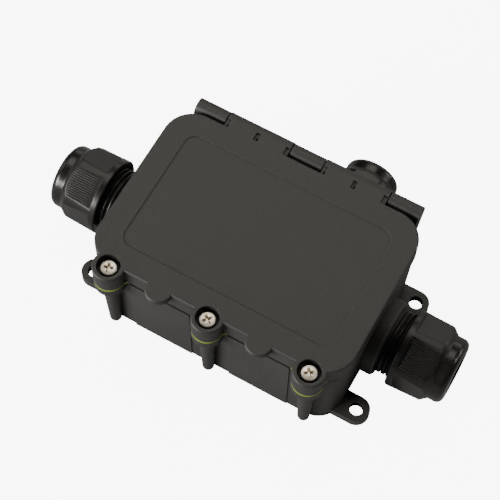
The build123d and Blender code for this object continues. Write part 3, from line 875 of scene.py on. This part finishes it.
# %% Ribs on the three nuts
# Lengths in millimetres, turns in degrees
grip_ribs = {
    "right": dict(flat=13.6, start=2.65, end=14.9, count=14, first_flat=0.0),
    "left": dict(flat=13.6, start=2.65, end=14.9, count=14, first_flat=60.0),
    "back": dict(flat=11.6, start=2.65, end=13.2, count=12, first_flat=30.0),
}
for gland_name, sizes in grip_ribs.items():
    place = gland_place(gland_name)[0]
    ribs = grow_mesh(
        f"grip_ribs_{gland_name}", rib_tree, place,
        count=sizes["count"], pitch=0.84 * mm, rib_radius=0.30 * mm, start=sizes["start"] * mm,
        end=sizes["end"] * mm, end_drop=1.2 * mm, flat_distance=sizes["flat"] * mm,
        first_flat=math.radians(sizes["first_flat"]), finish=finishes["rib_plastic"],
    )
    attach(ribs, f"gland_nut_{gland_name}")

# %% [markdown]
# Where a screw tower meets the wall, the lime gasket goes round the corner in
# a small hollow curve, and between the towers only a thin strand shows under
# the lid. The CAD gasket leaves those corners square. So each corner gets a
# small fillet of the same rubber: one flat outline with an arc, raised to the
# gasket's height. A loop places it at both sides of the three towers. A
# bevel would need the gasket's own mesh, which has to stay as it is.

# %% Hollow corners of the gasket
tower_radius = 5.9 * mm
hollow_radius = 1.6 * mm
front_wall_y = -34.1 * mm
lid_corner_radius = 10.7 * mm
lid_corner_x = 40.0 * mm
straight_wall_radius = 10000 * mm
sunk = 0.4 * mm
arc_steps = 8
corner_inset = 0.05 * mm
strand_bottom = 0.02 * mm
strand_top = 0.25 * mm


def meet_circles(first, first_radius, second, second_radius, side):
    """The point that lies on two circles, on the +X or the -X side of the line between them."""
    apart = second - first
    along = (apart.length_squared + first_radius ** 2 - second_radius ** 2) / (2 * apart.length)
    across = math.sqrt(first_radius ** 2 - along ** 2)
    forwards = apart.normalized()
    return first + forwards * along + Vector((forwards.y, -forwards.x)) * across * side


def hollow_corner(tower, side):
    """Outline of the fillet between a tower and the wall, which counts as a very large circle."""
    at_box_corner = abs(tower.x + side * tower_radius) > lid_corner_x
    wall_radius = lid_corner_radius if at_box_corner else straight_wall_radius
    wall_centre = Vector((tower.x, front_wall_y + wall_radius))
    hollow = meet_circles(tower, tower_radius + hollow_radius, wall_centre, wall_radius + hollow_radius, side)
    crease = meet_circles(tower, tower_radius, wall_centre, wall_radius, side)
    to_wall = (wall_centre - hollow).normalized()
    to_tower = (tower - hollow).normalized()
    shares = [step / arc_steps for step in range(arc_steps + 1)]
    arc = [hollow + to_wall.slerp(to_tower, share) * hollow_radius for share in shares]
    inner_crease = crease + (to_wall + to_tower) * sunk
    return [arc[0] + to_wall * sunk] + arc + [arc[-1] + to_tower * sunk, inner_crease]


def raise_outline(mesh, outline, bottom, top):
    """Adds the prism over a flat outline to a bmesh."""
    lower = [mesh.verts.new((point.x, point.y, bottom)) for point in outline]
    upper = [mesh.verts.new((point.x, point.y, top)) for point in outline]
    mesh.faces.new(lower)
    mesh.faces.new(upper)
    for here in range(len(outline)):
        following = (here + 1) % len(outline)
        mesh.faces.new((lower[here], lower[following], upper[following], upper[here]))


gasket_low, gasket_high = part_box("lid_gasket")
corner_form = bmesh.new()
tower_centres = []
for screw_name in ("left", "middle", "right"):
    low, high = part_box(f"lid_screw_{screw_name}")
    tower = Vector(((low.x + high.x) / 2, (low.y + high.y) / 2))
    tower_centres.append(tower)
    for side in (-1, 1):
        outline = hollow_corner(tower, side)
        raise_outline(corner_form, outline, gasket_low.z + corner_inset, gasket_high.z - corner_inset)
strand_reach = tower_radius + hollow_radius
strand_front = front_wall_y + 0.25 * mm
strand_back = front_wall_y + 0.50 * mm
for near, far in zip(tower_centres, tower_centres[1:]):
    ends = [near.x + strand_reach, far.x - strand_reach]
    outline = [Vector((x, strand_front)) for x in ends] + [Vector((x, strand_back)) for x in ends[::-1]]
    raise_outline(corner_form, outline, gasket_low.z + strand_bottom, gasket_low.z + strand_top)
bmesh.ops.recalc_face_normals(corner_form, faces=corner_form.faces)
corner_mesh = bpy.data.meshes.new("gasket_corners")
corner_form.to_mesh(corner_mesh)
corner_form.free()
corner_mesh.materials.append(finishes["gasket_rubber"])
gasket_corners = bpy.data.objects.new("gasket_corners", corner_mesh)
bpy.context.scene.collection.objects.link(gasket_corners)
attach(gasket_corners, "base")
print("gasket corners:", len(corner_mesh.polygons), "faces")

# %% [markdown]
# The lid screws are the brightest things on the box, so their heads need a
# true cross recess. The head is a circle swept up its own axis with a radius
# that follows the crown. Two thin tapered blades cut the cross out of it.
# The shank is a core with the same helical thread as the necks, only finer.
# A lathe-like spin would give the head as well, but then the recess would
# still need a cut.

# %% Tree: screw head with a cross recess
tip_share = 0.5
smallest_crown = 0.01


def build_head_tree():
    tree, entry, ending = new_geometry_tree(
        "cross_head",
        {"Head Radius": "value", "Head Height": "value", "Rim Share": "value", "Shank Radius": "value",
         "Shank Length": "value", "Recess Length": "value", "Recess Width": "value",
         "Recess Depth": "value", "Recess Turn": "value", "Finish": "material"},
    )
    top = add_node(tree, "ShaderNodeCombineXYZ", None, {"Z": entry.outputs["Head Height"]}).outputs[0]
    axis = add_node(
        tree, "GeometryNodeCurvePrimitiveLine", None, {"Start": (0, 0, 0), "End": top}
    ).outputs["Curve"]
    stations = add_node(
        tree, "GeometryNodeResampleCurve", None, {"Curve": axis, "Count": 28}
    ).outputs["Curve"]
    height = add_node(tree, "GeometryNodeSplineParameter").outputs["Factor"]
    above_rim = maths(tree, "SUBTRACT", height, entry.outputs["Rim Share"])
    crown_share = maths(tree, "SUBTRACT", 1.0, entry.outputs["Rim Share"])
    rise = maths(tree, "MAXIMUM", maths(tree, "DIVIDE", above_rim, crown_share), 0.0)
    squared = maths(tree, "SUBTRACT", 1.0, rise)
    fullness = maths(tree, "MAXIMUM", maths(tree, "SQRT", squared), smallest_crown)
    rim = add_node(
        tree, "GeometryNodeCurvePrimitiveCircle", None,
        {"Resolution": 64, "Radius": entry.outputs["Head Radius"]},
    ).outputs["Curve"]
    head = add_node(
        tree, "GeometryNodeCurveToMesh", None,
        {"Curve": stations, "Profile Curve": rim, "Scale": fullness, "Fill Caps": True},
    ).outputs["Mesh"]
    half_diagonal = maths(tree, "MULTIPLY", entry.outputs["Recess Length"], math.sqrt(0.5))
    tip = maths(tree, "MULTIPLY", half_diagonal, tip_share)
    frustum = add_node(
        tree, "GeometryNodeMeshCone", None,
        {
            "Vertices": 4, "Radius Top": half_diagonal, "Radius Bottom": tip,
            "Depth": entry.outputs["Recess Depth"],
        },
    ).outputs["Mesh"]
    blade = add_node(
        tree, "GeometryNodeTransform", None, {"Geometry": frustum, "Rotation": (0, 0, math.radians(45))}
    ).outputs["Geometry"]
    thinness = maths(tree, "DIVIDE", entry.outputs["Recess Width"], entry.outputs["Recess Length"])
    blade_scale = add_node(tree, "ShaderNodeCombineXYZ", None, {"X": 1.0, "Y": thinness, "Z": 1.0}).outputs[0]
    blade_bottom = maths(tree, "SUBTRACT", entry.outputs["Head Height"], entry.outputs["Recess Depth"])
    blade_place = add_node(tree, "ShaderNodeCombineXYZ", None, {"Z": blade_bottom}).outputs[0]
    cutters = []
    for quarter in (0.0, math.radians(90)):
        angle = maths(tree, "ADD", entry.outputs["Recess Turn"], quarter)
        spin = add_node(
            tree, "FunctionNodeAxisAngleToRotation", None, {"Axis": (0, 0, 1), "Angle": angle}
        ).outputs["Rotation"]
        cutters.append(add_node(
            tree, "GeometryNodeTransform", None,
            {"Geometry": blade, "Translation": blade_place, "Rotation": spin, "Scale": blade_scale},
        ).outputs["Geometry"])
    recessed = head
    for cutter in cutters:
        cut = add_node(tree, "GeometryNodeMeshBoolean", {"operation": "DIFFERENCE", "solver": "EXACT"})
        tree.links.new(recessed, cut.inputs["Mesh 1"])
        tree.links.new(cutter, cut.inputs["Mesh 2"])
        recessed = cut.outputs["Mesh"]
    core_depth = maths(tree, "MULTIPLY", entry.outputs["Shank Length"], -1.0)
    core = add_node(
        tree, "GeometryNodeMeshCylinder", None,
        {"Vertices": 32, "Radius": entry.outputs["Shank Radius"], "Depth": entry.outputs["Shank Length"]},
    ).outputs["Mesh"]
    half_core = maths(tree, "MULTIPLY", core_depth, 0.5)
    core_place = add_node(tree, "ShaderNodeCombineXYZ", None, {"Z": half_core}).outputs[0]
    core_down = add_node(
        tree, "GeometryNodeTransform", None, {"Geometry": core, "Translation": core_place}
    ).outputs["Geometry"]
    joined = add_node(tree, "GeometryNodeJoinGeometry")
    tree.links.new(recessed, joined.inputs[0])
    tree.links.new(core_down, joined.inputs[0])
    tree.links.new(joined.outputs[0], ending)
    return tree


head_tree = build_head_tree()
print("tree:", head_tree.name)

# %% [markdown]
# The three crosses point different ways, as tightened screws do. The crown
# starts high on the head, because in the photograph the heads shine right
# out to the rim. Each dressed screw takes the place of the plain CAD screw.

# %% Three lid screws
# Lengths in millimetres, turns in degrees
head_radius = 2.9
head_height = 2.0
crown_start_share = 0.80
shank_length = 20.0
core_radius = 1.22
core_shortening = 0.2
thread_tip_gap = 0.3
thread_run_out = 1.5
recess_turns = {"left": 20.0, "middle": 50.0, "right": 35.0}
for screw_name, turn in recess_turns.items():
    low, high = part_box(f"lid_screw_{screw_name}")
    middle = (low + high) / 2
    seat = high.z - head_height * mm
    place = Matrix.Translation((middle.x, middle.y, seat))
    screw = grow_mesh(
        f"cross_screw_{screw_name}", head_tree, place,
        head_radius=head_radius * mm, head_height=head_height * mm, rim_share=crown_start_share,
        shank_radius=core_radius * mm, shank_length=(shank_length - core_shortening) * mm,
        recess_length=3.9 * mm, recess_width=1.25 * mm,
        recess_depth=1.6 * mm, recess_turn=math.radians(turn), finish=finishes["screw_nickel"],
    )
    thread = grow_mesh(
        f"screw_thread_{screw_name}", thread_tree,
        place @ Matrix.Translation((0, 0, (thread_tip_gap - shank_length) * mm)),
        root_radius=1.2 * mm, height=0.3 * mm, pitch=0.5 * mm, length=(shank_length - thread_run_out) * mm,
        base_width=0.4 * mm, crest_width=0.08 * mm, steps=24, finish=finishes["screw_nickel"],
    )
    for piece in (screw, thread):
        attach(piece, f"lid_screw_{screw_name}")
    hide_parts(f"lid_screw_{screw_name}")
